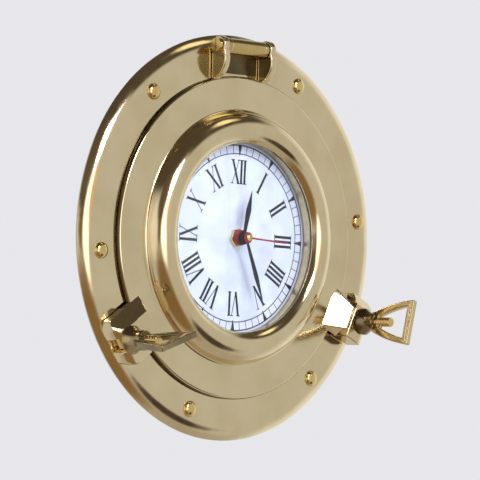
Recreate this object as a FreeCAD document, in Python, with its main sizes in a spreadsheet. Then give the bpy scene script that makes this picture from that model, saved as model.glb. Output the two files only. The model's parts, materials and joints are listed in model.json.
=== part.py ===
import math
import os

import FreeCAD
import Part
import Sketcher

# Brass ship's porthole fitted as a wall clock.
# Pieces are drawn in a dial frame: x to the right, y up, z out of the wall,
# with z = 0 at the back of the flange.  FRONT turns that frame upright.

SIZES = {
    # flange
    "flange_radius": 115.0,
    "flange_flat_radius": 105.5,
    "flange_bore": 59.0,
    "dial_seat_radius": 61.5,
    "dial_seat_level": 4.2,
    "flange_level": 5.6,
    "flange_rim_level": 0.8,
    "rim_arc": 11.8,
    "rivet_circle": 102.0,
    "rivet_head": 4.5,
    "rivet_dome": 2.2,
    "rivet_shank": 1.9,
    "rivet_hole": 1.95,
    # casing behind the flange
    "case_depth": 22.0,
    "case_radius": 80.0,
    "case_wall": 2.0,
    "cover_thick": 1.6,
    "cover_recess": 1.2,
    "cover_radius": 77.8,
    "cover_opening": 48.0,
    "keyhole_up": 60.0,
    "keyhole_radius": 4.2,
    "keyhole_neck": 2.1,
    "keyhole_drop": 8.0,
    "screw_circle": 73.0,
    "screw_head": 2.8,
    "screw_head_thick": 0.9,
    "screw_slot": 0.7,
    "screw_shank": 1.45,
    "screw_hole": 1.6,
    "screw_length": 5.0,
    "lug_radius": 5.5,
    "lug_length": 6.0,
    # door
    "door_radius": 91.4,
    "door_face_radius": 89.8,
    "door_back": 6.2,
    "door_edge_level": 7.1,
    "door_level": 8.6,
    "door_edge_arc": 1.9,
    "bead_foot": 72.0,
    "bead_crest": 61.0,
    "crest_level": 18.4,
    "bead_outer_arc": 11.1,
    "bead_inner_arc": 8.9,
    "lip_radius": 53.5,
    "lip_front": 14.4,
    "lip_back": 13.9,
    "rebate_radius": 56.8,
    "groove_outer": 87.0,
    "groove_inner": 81.0,
    "groove_level": 7.2,
    # glass and its ring
    "glass_radius": 56.5,
    "glass_edge_back": 11.9,
    "glass_apex": 18.6,
    "glass_inner_apex": 17.2,
    "glass_arc": 303.8,
    "ring_inner": 53.6,
    "ring_outer": 56.6,
    "ring_back": 6.7,
    "ring_front": 11.8,
    # hinge
    "hinge_across": -2.0,
    "hinge_up": 107.3,
    "hinge_level": 11.4,
    "ear_inner": 16.2,
    "ear_thick": 4.3,
    "ear_round": 12.0,
    "ear_round_up": 100.2,
    "ear_round_level": 5.2,
    "ear_eye": 5.4,
    "knuckle_half": 15.5,
    "knuckle_radius": 4.5,
    "pedestal_half": 12.5,
    "pedestal_height": 8.2,
    "pin_radius": 2.40,
    "pin_bore": 2.45,
    "pin_head": 3.9,
    "pin_head_thick": 2.2,
    "pin_slot": 1.0,
    "pin_slot_depth": 0.9,
    # dogs
    "dog_radius": 106.0,
    "dog_pin_level": 10.0,
    "fork_half": 14.0,
    "fork_corner": 17.5,
    "fork_corner_centre": 99.0,
    "fork_inner": 96.5,
    "fork_under": 6.4,
    "fork_level": 17.2,
    "fork_nose": 7.2,
    "fork_outer": 113.2,
    "fork_soft": 0.9,
    "fork_ridge": 7.0,
    "fork_shoulder": 11.4,
    "stem_foot": 82.0,
    "stem_top_left": 88.5,
    "stem_top_right": 95.0,
    "stem_low_half": 14.0,
    "stem_high_half": 7.1,
    "stem_lean_left": 0.0,
    "stem_lean_right": 2.9,
    "stem_drop": 1.2,
    "slot_half": 4.2,
    "slot_start": 103.0,
    "bolt_radius": 2.8,
    "bolt_top": 38.8,
    "eye_radius": 3.7,
    "eye_half": 3.9,
    "dog_pin_radius": 1.60,
    "dog_pin_inset": 0.3,
    "dog_pin_bore": 1.64,
    "hub_foot": 7.8,
    "hub_rim": 1.0,
    "hub_neck": 5.2,
    "hub_collar": 2.0,
    "hub_level": 17.3,
    "hub_top": 28.2,
    "nut_bore": 2.86,
    "loop_thick": 3.6,
    "loop_start": 23.5,
    "loop_end": 54.8,
    "loop_near_half": 5.2,
    "loop_far_half": 13.0,
    "loop_soft": 0.8,
    "eye_start": 30.0,
    "eye_end": 50.9,
    "eye_near_half": 3.4,
    "eye_far_half": 9.6,
    # clock
    "dial_radius": 61.3,
    "dial_level": 5.4,
    "dial_hole": 4.2,
    "bush_radius": 4.0,
    "bush_top": 9.2,
    "nut_radius": 5.4,
    "nut_thick": 1.9,
    "washer_radius": 8.0,
    "washer_thick": 1.0,
    "movement_side": 56.0,
    "movement_depth": 16.0,
    "movement_wall": 1.5,
    "bay_height": 15.4,
    "cell_radius": 7.1,
    "cell_length": 48.0,
    "cell_tip": 2.7,
    "cell_tip_length": 1.2,
    "coil_radius": 3.6,
    "coil_length": 20.0,
    "coil_across": -25.0,
    "coil_up": 21.5,
    "board_length": 20.0,
    "board_width": 9.0,
    "board_thick": 1.2,
    "board_across": 4.0,
    "board_up": 16.5,
    "board_depth": 6.0,
    "train_low": 9.8,
    "train_height": 36.0,
    "hour_level": 11.2,
    "minute_level": 13.2,
    "second_level": 14.9,
    "hand_thick": 0.4,
    "hour_length": 27.5,
    "minute_length": 39.5,
    "second_length": 33.0,
    "hour_half": 1.9,
    "minute_half": 1.5,
    "second_half": 0.45,
    "hour_neck": 0.8,
    "minute_neck": 0.7,
    "second_neck": 0.5,
    "hour_belly": 16.0,
    "minute_belly": 24.0,
    "second_belly": 30.0,
    "hand_hub": 3.9,
    "second_hub": 3.1,
    "hour_tube": 2.55,
    "hour_tube_bore": 1.75,
    "minute_tube": 1.70,
    "minute_tube_bore": 0.80,
    "second_tube": 0.75,
    "cap_radius": 1.3,
    "cap_top": 16.3,
    "bush_bore": 2.6,
    "knob_out": 11.0,
    "knob_up": 6.0,
    "knob_radius": 4.5,
    "knob_thick": 2.5,
    "knob_gap": 1.5,
    "knob_stem": 1.5,
    "knob_pinion": 4.1,
    "wheel_thick": 0.8,
    "hour_wheel": 9.0,
    "hour_wheel_depth": 4.4,
    "minute_wheel": 8.2,
    "minute_wheel_depth": 7.4,
    "second_wheel": 7.0,
    "second_wheel_depth": 10.4,
}

# Directions on the dial, in degrees anticlockwise from three o'clock.
RIVET_ANGLES = [130.0, 61.7, 7.3, -51.5, -109.1, -174.2]
SCREW_ANGLES = [30.0, 150.0, 270.0]
DOG_ANGLES = {"left": -146.7, "right": -25.8}
LOOP_TURN = {"left": 198.0, "right": 76.5}
HOUR_ANGLE = 77.4
MINUTE_ANGLE = -68.5
SECOND_ANGLE = -4.0

doc = FreeCAD.newDocument("PortholeClock")
sheet = doc.addObject("Spreadsheet::Sheet", "Sizes")
for row, (name, value) in enumerate(SIZES.items(), start=1):
    sheet.set("A%d" % row, name)
    sheet.set("B%d" % row, str(value))
    sheet.setAlias("B%d" % row, name)
doc.recompute()

Vector = FreeCAD.Vector
FRONT = FreeCAD.Placement(
    Vector(0, -SIZES["case_depth"], -SIZES["keyhole_up"]),
    FreeCAD.Rotation(Vector(1, 0, 0), 90))
subparts = []


def size(name):
    """The value of a cell of the sheet."""
    return float(sheet.get(name))


def place(x=0, y=0, z=0, axis=(0, 0, 1), angle=0):
    """A placement in the dial frame."""
    return FreeCAD.Placement(Vector(x, y, z), FreeCAD.Rotation(Vector(*axis), angle))


def turned(angle):
    """A turn about the dial's axis."""
    return place(angle=angle)


def bind(item, **sizes):
    """Bind an object's properties to expressions over the sheet."""
    for prop, expression in sizes.items():
        item.setExpression(prop, expression)
    return item


def rod(name, radius, length, where=None):
    """A cylinder along z, its radius and length taken from the sheet."""
    item = doc.addObject("Part::Cylinder", name)
    bind(item, Radius=radius, Height=length)
    item.Placement = where or place()
    return item


def block(name, length, width, height, where):
    item = doc.addObject("Part::Box", name)
    bind(item, Length=length, Width=width, Height=height)
    item.Placement = where
    return item


def cut(name, base, tool):
    item = doc.addObject("Part::Cut", name)
    item.Base = base
    item.Tool = tool
    return item


def join(name, *pieces):
    item = doc.addObject("Part::MultiFuse", name)
    item.Shapes = list(pieces)
    item.Refine = True
    return item


def ring(name, outer, inner, length, where=None):
    """A washer or tube along z."""
    where = where or place()
    body = rod(name + "_outer", outer, length, where)
    hole = rod(name + "_hole", inner, length, where)
    return cut(name, body, hole)


def round_edges(name, base, radius, chosen):
    """Fillet the edges for which chosen(edge) is true."""
    doc.recompute()
    item = doc.addObject("Part::Fillet", name)
    item.Base = base
    item.Edges = [(index, radius, radius)
                  for index, edge in enumerate(base.Shape.Edges, start=1) if chosen(edge)]
    return item


def finish(item, label, where=None):
    """Name a finished sub-part and set it upright, turned or moved if asked."""
    item.Label = label
    item.Placement = FRONT.multiply((where or place()).multiply(item.Placement))
    subparts.append(item)
    return item


def plane(body, role):
    return [item for item in body.Origin.OriginFeatures if item.Role == role][0]


def outline(body, role, corners):
    """A closed sketch on one of the body's own planes.

    Each corner is (across, up, arc): the names of two cells, with a sign, and the
    radius of the arc that runs on to the next corner, or None for a straight run.
    A positive arc bulges to the right of its run, a negative one to the left.
    """
    sketch = body.newObject("Sketcher::SketchObject", body.Name + "_sketch")
    sketch.AttachmentSupport = [(plane(body, role), "")]
    sketch.MapMode = "FlatFace"

    def value(cell):
        if cell == "0":
            return 0.0
        return -size(cell[1:]) if cell.startswith("-") else size(cell)

    points = [Vector(value(across), value(up), 0) for across, up, arc in corners]
    count = len(points)
    for index, (across, up, arc) in enumerate(corners):
        start = points[index]
        end = points[(index + 1) % count]
        if arc is None:
            sketch.addGeometry(Part.LineSegment(start, end), False)
            continue
        radius = size(arc.lstrip("-"))
        chord = end - start
        side = Vector(chord.y, -chord.x, 0).normalize() * (-1 if arc.startswith("-") else 1)
        rise = radius - math.sqrt(radius ** 2 - (chord.Length / 2) ** 2)
        middle = start + chord * 0.5 + side * rise
        sketch.addGeometry(Part.Arc(start, middle, end), False)
    ends = []
    for index in range(count):
        curve = sketch.Geometry[index]
        forward = (curve.StartPoint - points[index]).Length < 1e-6
        ends.append((1, 2) if forward else (2, 1))
    for index in range(count):
        after = (index + 1) % count
        sketch.addConstraint(Sketcher.Constraint(
            "Coincident", index, ends[index][1], after, ends[after][0]))
    for index, (across, up, arc) in enumerate(corners):
        for kind, cell, number in (("DistanceX", across, points[index].x),
                                   ("DistanceY", up, points[index].y)):
            if cell == "0":
                axis = -2 if kind == "DistanceX" else -1
                sketch.addConstraint(Sketcher.Constraint(
                    "PointOnObject", index, ends[index][0], axis))
                continue
            known = sketch.addConstraint(Sketcher.Constraint(
                kind, -1, 1, index, ends[index][0], number))
            sign, alias = ("-", cell[1:]) if cell.startswith("-") else ("", cell)
            sketch.setExpression("Constraints[%d]" % known, "%sSizes.%s" % (sign, alias))
        if arc is not None:
            alias = arc.lstrip("-")
            known = sketch.addConstraint(Sketcher.Constraint("Radius", index, size(alias)))
            sketch.setExpression("Constraints[%d]" % known, "Sizes." + alias)
    return sketch


def revolved(name, corners):
    """A body of revolution about z; corners are (radius, level, arc)."""
    body = doc.addObject("PartDesign::Body", name)
    sketch = outline(body, "XZ_Plane", corners)
    turn = body.newObject("PartDesign::Revolution", name + "_turn")
    turn.Profile = sketch
    turn.ReferenceAxis = (sketch, ["V_Axis"])
    turn.Angle = 360.0
    body.Tip = turn
    return body


def padded(name, role, corners, thickness):
    """A plate of the given outline, its thickness centred on the sketch."""
    body = doc.addObject("PartDesign::Body", name)
    sketch = outline(body, role, corners)
    pad = body.newObject("PartDesign::Pad", name + "_pad")
    pad.Profile = sketch
    pad.Midplane = True
    pad.setExpression("Length", thickness)
    body.Tip = pad
    return body


def lengthwise(name, radius, length, x, y, z):
    """A cylinder along +x that starts at the given place in the dial frame."""
    return rod(name, radius, length, place(x, y, z, (0, 1, 0), 90))


# ---- flange and what is fixed to it ---------------------------------------------------

def make_flange():
    plate = revolved("flange_plate", [
        ("flange_bore", "0", None),
        ("flange_radius", "0", None),
        ("flange_radius", "flange_rim_level", "rim_arc"),
        ("flange_flat_radius", "flange_level", None),
        ("dial_seat_radius", "flange_level", None),
        ("dial_seat_radius", "dial_seat_level", None),
        ("flange_bore", "dial_seat_level", None),
    ])
    up = size("hinge_up")
    level = size("hinge_level")
    half = size("knuckle_half")
    across = size("hinge_across")
    barrel = lengthwise("barrel", "Sizes.knuckle_radius", "2 * Sizes.knuckle_half",
                        across - half, up, level)
    pedestal = block("pedestal", "2 * Sizes.pedestal_half", "Sizes.pedestal_height",
                     "Sizes.hinge_level - Sizes.flange_level + 1",
                     place(across - size("pedestal_half"), up - size("knuckle_radius"),
                           size("flange_level") - 1))
    whole = join("flange_casting", plate, barrel, pedestal)
    bore = lengthwise("knuckle_bore", "Sizes.pin_bore", "2 * Sizes.knuckle_half + 2",
                      across - half - 1, up, level)
    bored = cut("flange_bored", whole, bore)
    holes = []
    for number, angle in enumerate(RIVET_ANGLES):
        turn = turned(angle)
        centre = turn.multVec(Vector(size("rivet_circle"), 0, -1))
        holes.append(rod("rivet_hole_%d" % number, "Sizes.rivet_hole",
                         "Sizes.flange_level + 2", place(*centre)))
    drilled = cut("flange_drilled", bored, join("rivet_holes", *holes))
    return finish(drilled, "flange")


def make_rivets():
    rivets = []
    sphere_radius = (size("rivet_head") ** 2 + size("rivet_dome") ** 2) / (2 * size("rivet_dome"))
    for number, angle in enumerate(RIVET_ANGLES):
        at = turned(angle).multVec(Vector(size("rivet_circle"), 0, 0))
        shank = rod("shank_%d" % number, "Sizes.rivet_shank", "Sizes.flange_level + 0.5",
                    place(at.x, at.y, 0))
        ball = doc.addObject("Part::Sphere", "dome_%d" % number)
        bind(ball, Radius="(Sizes.rivet_head ^ 2 + Sizes.rivet_dome ^ 2) / (2 * Sizes.rivet_dome)")
        ball.Placement = place(at.x, at.y, size("flange_level") + size("rivet_dome") - sphere_radius)
        keep = rod("dome_keep_%d" % number, "Sizes.rivet_head", "Sizes.rivet_dome",
                   place(at.x, at.y, size("flange_level")))
        dome = doc.addObject("Part::Common", "dome_part_%d" % number)
        dome.Base = ball
        dome.Tool = keep
        rivets.append(join("rivet_%d" % number, shank, dome))
    group = doc.addObject("Part::Compound", "rivets")
    group.Links = rivets
    return finish(group, "flange_rivets")


def make_casing():
    """The casing ring with three lugs, the back cover and the cover's screws."""
    wall = place(0, 0, -size("case_depth"))
    cover_back = size("cover_recess") - size("case_depth")
    cover_front = cover_back + size("cover_thick")
    tube = ring("casing", "Sizes.case_radius", "Sizes.case_radius - Sizes.case_wall",
                "Sizes.case_depth", wall)
    cover = ring("cover", "Sizes.cover_radius", "Sizes.cover_opening", "Sizes.cover_thick",
                 place(0, 0, cover_back))
    lugs = []
    threads = []
    holes = []
    screws = []
    for number, angle in enumerate(SCREW_ANGLES):
        at = turned(angle).multVec(Vector(size("screw_circle"), 0, cover_back))
        lugs.append(rod("lug_%d" % number, "Sizes.lug_radius", "Sizes.lug_length",
                        place(at.x, at.y, cover_front)))
        threads.append(rod("thread_%d" % number, "Sizes.screw_hole", "Sizes.lug_length + 2",
                           place(at.x, at.y, cover_front - 1)))
        holes.append(rod("cover_hole_%d" % number, "Sizes.screw_hole", "Sizes.cover_thick + 2",
                         place(at.x, at.y, cover_back - 1)))
        head = rod("screw_head_%d" % number, "Sizes.screw_head", "Sizes.screw_head_thick",
                   place(at.x, at.y, cover_back - size("screw_head_thick")))
        shank = rod("screw_shank_%d" % number, "Sizes.screw_shank", "Sizes.screw_length",
                    place(at.x, at.y, cover_back))
        slot = block("screw_slot_%d" % number, "2 * Sizes.screw_head + 1", "Sizes.screw_slot",
                     "Sizes.screw_head_thick",
                     place(at.x - size("screw_head") - 0.5, at.y - size("screw_slot") / 2,
                           cover_back - 1.5 * size("screw_head_thick")))
        screws.append(cut("screw_%d" % number, join("screw_whole_%d" % number, head, shank), slot))
    inner_lugs = doc.addObject("Part::Common", "lugs_inside")
    inner_lugs.Base = join("lugs", *lugs)
    inner_lugs.Tool = rod("lug_keep", "Sizes.case_radius - Sizes.case_wall / 4", "Sizes.case_depth",
                          wall)
    finish(cut("casing_cut", join("casing_whole", tube, inner_lugs), join("threads", *threads)),
           "casing_ring")
    keyhole = rod("keyhole_round", "Sizes.keyhole_radius", "Sizes.cover_thick + 2",
                  place(0, size("keyhole_up") - size("keyhole_drop"), cover_back - 1))
    neck = block("keyhole_neck", "2 * Sizes.keyhole_neck", "Sizes.keyhole_drop",
                 "Sizes.cover_thick + 2",
                 place(-size("keyhole_neck"), size("keyhole_up") - size("keyhole_drop"),
                       cover_back - 1))
    neck_top = rod("keyhole_neck_top", "Sizes.keyhole_neck", "Sizes.cover_thick + 2",
                   place(0, size("keyhole_up"), cover_back - 1))
    finish(cut("cover_cut", cover, join("cover_holes", keyhole, neck, neck_top, *holes)),
           "back_cover")
    group = doc.addObject("Part::Compound", "screws")
    group.Links = screws
    finish(group, "cover_screws")


# ---- door -----------------------------------------------------------------------------

def make_ear(name, start):
    """One ear of the hinge fork, between start and start + ear_thick along x."""
    thick = "Sizes.ear_thick"
    rounded = lengthwise(name + "_round", "Sizes.ear_round", thick,
                         start, size("ear_round_up"), size("ear_round_level"))
    reach = 2 * size("ear_round")
    above = block(name + "_above", "Sizes.ear_thick + 2", "2 * Sizes.ear_round",
                  "4 * Sizes.ear_round", place(start - 1, size("hinge_up"), -reach))
    below = block(name + "_below", "Sizes.ear_thick + 2", "4 * Sizes.ear_round",
                  "2 * Sizes.ear_round",
                  place(start - 1, size("ear_round_up") - reach, size("door_back") - reach))
    eye = lengthwise(name + "_eye", "Sizes.ear_eye", thick,
                     start, size("hinge_up"), size("hinge_level"))
    trimmed = cut(name + "_trimmed", rounded, join(name + "_waste", above, below))
    return join(name, trimmed, eye)


def flank_waste(side):
    """What is cut from a lug's upper edge to leave a sloping flank."""
    drop = size("fork_level") - size("fork_shoulder")
    run = size("fork_half") - size("fork_ridge")
    slope = math.degrees(math.atan2(drop, run))
    if side == "left":
        start = place(size("fork_inner") - 1, -size("fork_ridge"), size("fork_level"),
                      (1, 0, 0), slope)
        start = start.multiply(place(0, -2 * run, 0))
    else:
        start = place(size("fork_inner") - 1, size("fork_ridge"), size("fork_level"),
                      (1, 0, 0), -slope)
    return block("flank_%s" % side, "Sizes.fork_outer - Sizes.fork_inner + 3",
                 "2 * (Sizes.fork_half - Sizes.fork_ridge)",
                 "Sizes.fork_level - Sizes.fork_under", start)


def make_fork(side):
    """The slotted lug that a dog clamps, drawn along x and turned to its place."""
    head = padded("fork_%s" % side, "XZ_Plane", [
        ("fork_inner", "fork_under", None),
        ("fork_outer", "fork_under", None),
        ("fork_outer", "dog_pin_level", "fork_nose"),
        ("dog_radius", "fork_level", None),
        ("fork_inner", "fork_level", None),
    ], "2 * Sizes.fork_half")
    keep = rod("fork_keep_%s" % side, "Sizes.fork_corner", "Sizes.fork_level + 1",
               place(size("fork_corner_centre"), 0, 0))
    blunt = doc.addObject("Part::Common", "fork_blunt_%s" % side)
    blunt.Base = head
    blunt.Tool = keep
    soft = round_edges("fork_soft_%s" % side, blunt, size("fork_soft"),
                       lambda edge: edge.Length > 5)
    flanked = cut("fork_flanked_%s" % side, soft, flank_waste(side))
    stem = doc.addObject("Part::Wedge", "stem_%s" % side)
    bind(stem, Xmin="Sizes.stem_foot", Xmax="Sizes.fork_inner + 1",
         X2min="Sizes.stem_top_%s" % side, X2max="Sizes.fork_inner + 1",
         Zmin="-Sizes.stem_low_half", Zmax="Sizes.stem_low_half",
         Z2min="Sizes.stem_lean_%s - Sizes.stem_high_half" % side,
         Z2max="Sizes.stem_lean_%s + Sizes.stem_high_half" % side,
         Ymin="Sizes.groove_level + 0.4", Ymax="Sizes.fork_level - Sizes.stem_drop")
    stem.Placement = place(axis=(1, 0, 0), angle=90)
    lug = join("lug_%s" % side, flanked, stem)
    lug.Placement = turned(DOG_ANGLES[side])
    return lug


def fork_cuts(side):
    """The slot for the swing bolt and the bore for its pin."""
    reach = size("dog_radius")
    start = size("slot_start")
    slot_end = rod("slot_end_%s" % side, "Sizes.slot_half", "Sizes.fork_level + 2",
                   place(start, 0, 0))
    slot = block("slot_%s" % side, "Sizes.fork_outer - Sizes.slot_start + 2",
                 "2 * Sizes.slot_half", "Sizes.fork_level + 2",
                 place(start, -size("slot_half"), 0))
    bore = rod("lug_bore_%s" % side, "Sizes.dog_pin_bore", "2 * Sizes.fork_half + 2",
               place(reach, size("fork_half") + 1, size("dog_pin_level"), (1, 0, 0), 90))
    waste = join("fork_waste_%s" % side, slot_end, slot, bore)
    waste.Placement = turned(DOG_ANGLES[side])
    return waste


def make_door():
    disc = revolved("door_disc", [
        ("rebate_radius", "door_back", None),
        ("groove_inner", "door_back", None),
        ("groove_inner", "groove_level", None),
        ("groove_outer", "groove_level", None),
        ("groove_outer", "door_back", None),
        ("door_radius", "door_back", None),
        ("door_radius", "door_edge_level", "door_edge_arc"),
        ("door_face_radius", "door_level", None),
        ("bead_foot", "door_level", "bead_outer_arc"),
        ("bead_crest", "crest_level", "bead_inner_arc"),
        ("lip_radius", "lip_front", None),
        ("lip_radius", "lip_back", None),
        ("rebate_radius", "lip_back", None),
    ])
    across = size("hinge_across")
    outside = size("ear_inner") + size("ear_thick")
    ears = [make_ear("ear_left", across - outside),
            make_ear("ear_right", across + size("ear_inner"))]
    lugs = [make_fork(side) for side in DOG_ANGLES]
    casting = join("door_casting", disc, *(ears + lugs))
    pin_bore = lengthwise("ear_bore", "Sizes.pin_bore",
                          "2 * Sizes.ear_inner + 2 * Sizes.ear_thick + 2",
                          across - outside - 1, size("hinge_up"), size("hinge_level"))
    waste = join("door_waste", pin_bore, *[fork_cuts(side) for side in DOG_ANGLES])
    return finish(cut("door_cut", casting, waste), "door")


def make_hinge_pin():
    start = size("hinge_across") - size("ear_inner") - size("ear_thick")
    up = size("hinge_up")
    level = size("hinge_level")
    shank = lengthwise("pin_shank", "Sizes.pin_radius",
                       "2 * Sizes.ear_inner + 2 * Sizes.ear_thick + 1", start, up, level)
    head = lengthwise("pin_head", "Sizes.pin_head", "Sizes.pin_head_thick",
                      start - size("pin_head_thick"), up, level)
    slot = block("pin_slot", "Sizes.pin_slot_depth", "2 * Sizes.pin_head + 2", "Sizes.pin_slot",
                 place(start - size("pin_head_thick"), up - size("pin_head") - 1,
                       level - size("pin_slot") / 2))
    finish(cut("pin_cut", join("pin_whole", shank, head), slot), "hinge_pin")


def make_glass():
    slab = rod("glass_slab", "Sizes.glass_radius", "Sizes.glass_apex - Sizes.glass_edge_back + 1",
               place(0, 0, size("glass_edge_back")))
    domes = {}
    for name in ("glass_apex", "glass_inner_apex"):
        domes[name] = bind(doc.addObject("Part::Sphere", name + "_ball"), Radius="Sizes.glass_arc")
        domes[name].Placement = place(0, 0, size(name) - size("glass_arc"))
    crown = doc.addObject("Part::Common", "glass_crown")
    crown.Base = slab
    crown.Tool = domes["glass_apex"]
    finish(cut("glass_cut", crown, domes["glass_inner_apex"]), "glass")
    finish(ring("retainer", "Sizes.ring_outer", "Sizes.ring_inner",
                "Sizes.ring_front - Sizes.ring_back", place(0, 0, size("ring_back"))),
           "glass_retaining_ring")
    finish(ring("gasket", "Sizes.groove_outer - 0.1", "Sizes.groove_inner + 0.1",
                "Sizes.groove_level - Sizes.flange_level - 0.05",
                place(0, 0, size("flange_level") + 0.05)), "door_gasket")


# ---- dogs -----------------------------------------------------------------------------

def make_dog(side):
    turn = turned(DOG_ANGLES[side])
    reach = size("dog_radius")
    level = size("dog_pin_level")
    eye = rod("eye_%s" % side, "Sizes.eye_radius", "2 * Sizes.eye_half",
              place(reach, size("eye_half"), level, (1, 0, 0), 90))
    shank = rod("bolt_shank_%s" % side, "Sizes.bolt_radius",
                "Sizes.bolt_top - Sizes.dog_pin_level", place(reach, 0, level))
    bore = rod("bolt_bore_%s" % side, "Sizes.dog_pin_bore", "2 * Sizes.eye_half + 2",
               place(reach, size("eye_half") + 1, level, (1, 0, 0), 90))
    bolt = cut("bolt_%s" % side, join("bolt_whole_%s" % side, eye, shank), bore)
    finish(bolt, "swing_bolt_%s" % side, turn)
    pin = rod("dog_pin_%s" % side, "Sizes.dog_pin_radius", "2 * Sizes.fork_half - 2 * Sizes.dog_pin_inset",
              place(reach, size("fork_half") - size("dog_pin_inset"), level, (1, 0, 0), 90))
    finish(pin, "dog_pin_%s" % side, turn)

    hub = doc.addObject("Part::Cone", "hub_%s" % side)
    bind(hub, Radius1="Sizes.hub_foot", Radius2="Sizes.hub_neck",
         Height="Sizes.hub_top - Sizes.hub_level - Sizes.hub_rim - Sizes.hub_collar")
    hub.Placement = place(0, 0, size("hub_level") + size("hub_rim"))
    foot = rod("hub_foot_%s" % side, "Sizes.hub_foot", "Sizes.hub_rim",
               place(0, 0, size("hub_level")))
    neck = rod("hub_neck_%s" % side, "Sizes.hub_neck", "Sizes.hub_collar",
               place(0, 0, size("hub_top") - size("hub_collar")))
    plate = padded("loop_%s" % side, "XZ_Plane", [
        ("-loop_near_half", "loop_start", None),
        ("loop_near_half", "loop_start", None),
        ("loop_far_half", "loop_end", None),
        ("-loop_far_half", "loop_end", None),
    ], "Sizes.loop_thick")
    gap = padded("gap_%s" % side, "XZ_Plane", [
        ("-eye_near_half", "eye_start", None),
        ("eye_near_half", "eye_start", None),
        ("eye_far_half", "eye_end", None),
        ("-eye_far_half", "eye_end", None),
    ], "2 * Sizes.loop_thick")
    frame = cut("frame_%s" % side, plate, gap)
    soft = round_edges("frame_soft_%s" % side, frame, size("loop_soft"),
                       lambda edge: edge.Length > size("loop_thick"))
    solid = join("nut_solid_%s" % side, hub, foot, neck, soft)
    bore = rod("nut_bore_%s" % side, "Sizes.nut_bore",
               "Sizes.eye_start - Sizes.hub_level + 1", place(0, 0, size("hub_level") - 0.5))
    nut = cut("nut_%s" % side, solid, bore)
    centre = turn.multVec(Vector(reach, 0, 0))
    finish(nut, "dog_nut_%s" % side, place(centre.x, centre.y, 0, angle=LOOP_TURN[side]))


# ---- clock ----------------------------------------------------------------------------

def make_dial():
    thick = "Sizes.dial_level - Sizes.dial_seat_level"
    finish(ring("dial", "Sizes.dial_radius", "Sizes.dial_hole", thick,
                place(0, 0, size("dial_seat_level"))), "dial_plate")
    finish(ring("nut", "Sizes.nut_radius", "Sizes.dial_hole", "Sizes.nut_thick",
                place(0, 0, size("dial_level"))), "dial_nut")
    low = size("dial_seat_level") - size("washer_thick")
    finish(ring("washer", "Sizes.washer_radius", "Sizes.dial_hole", "Sizes.washer_thick",
                place(0, 0, low)), "rubber_washer")


def make_movement():
    front = size("dial_seat_level") - size("washer_thick")
    half = size("movement_side") / 2
    depth = size("movement_depth")
    wall = size("movement_wall")
    outside = block("movement_outside", "Sizes.movement_side", "Sizes.movement_side",
                    "Sizes.movement_depth", place(-half, -half, front - depth))
    inside = block("movement_inside", "Sizes.movement_side - 2 * Sizes.movement_wall",
                   "Sizes.train_height", "Sizes.movement_depth - 2 * Sizes.movement_wall",
                   place(-half + wall, -size("train_low"), front - depth + wall))
    bay = block("battery_bay", "Sizes.movement_side - 2 * Sizes.movement_wall",
                "Sizes.bay_height", "Sizes.movement_depth - Sizes.movement_wall",
                place(wall - half, wall - half, front - depth))
    shaft = rod("arbor_hole", "Sizes.bush_bore", "4", place(0, 0, front - 2))
    knob_hole = rod("knob_hole", "Sizes.knob_stem + 0.1", "4",
                    place(size("knob_out"), size("knob_up"), front - depth - 1))
    bush = ring("bush", "Sizes.bush_radius", "Sizes.bush_bore",
                "Sizes.bush_top - Sizes.dial_seat_level + Sizes.washer_thick",
                place(0, 0, front))
    hollow = join("movement_hollow", inside, bay, shaft, knob_hole)
    finish(join("movement_shell", cut("movement_cut", outside, hollow), bush), "movement_case")
    cell_up = wall - half + size("bay_height") / 2
    cell_level = front - wall - size("cell_radius") - 0.1
    cell = lengthwise("cell", "Sizes.cell_radius", "Sizes.cell_length",
                      -size("cell_length") / 2 - 0.5, cell_up, cell_level)
    tip = lengthwise("cell_tip", "Sizes.cell_tip", "Sizes.cell_tip_length",
                     size("cell_length") / 2 - 0.5, cell_up, cell_level)
    finish(join("cell_whole", cell, tip), "battery")
    finish(lengthwise("coil", "Sizes.coil_radius", "Sizes.coil_length", size("coil_across"),
                      size("coil_up"), front - size("movement_depth") / 2 + 1), "motor_coil")
    finish(block("board", "Sizes.board_length", "Sizes.board_width", "Sizes.board_thick",
                 place(size("board_across"), size("board_up"), front - size("board_depth"))),
           "circuit_board")


def make_hand(label, hub, angle, bore):
    """A lance-shaped hand with the tube and the wheel that carry it."""
    level = size(label + "_level")
    low = size("dial_seat_level") - size("washer_thick") - size(label + "_wheel_depth")
    blade = padded(label + "_blade", "XY_Plane", [
        ("0", "-%s_neck" % label, None),
        (label + "_belly", "-%s_half" % label, None),
        (label + "_length", "0", None),
        (label + "_belly", label + "_half", None),
        ("0", label + "_neck", None),
    ], "Sizes.hand_thick")
    blade.Placement = place(0, 0, level + size("hand_thick") / 2)
    disc = rod(label + "_disc", hub, "Sizes.hand_thick", place(0, 0, level))
    sleeve = rod(label + "_sleeve", "Sizes.%s_tube" % label,
                 "Sizes.%s_level - %.3f" % (label, low), place(0, 0, low))
    wheel = rod(label + "_disc_wheel", "Sizes.%s_wheel" % label, "Sizes.wheel_thick",
                place(0, 0, low))
    whole = join(label + "_whole", blade, disc, sleeve, wheel)
    if bore:
        reach = "Sizes.%s_level - %.3f + 2" % (label, low)
        whole = cut(label + "_bored", whole, rod(label + "_bore", bore, reach,
                                                 place(0, 0, low - 1)))
    finish(whole, label + "_hand", turned(angle))


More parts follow.
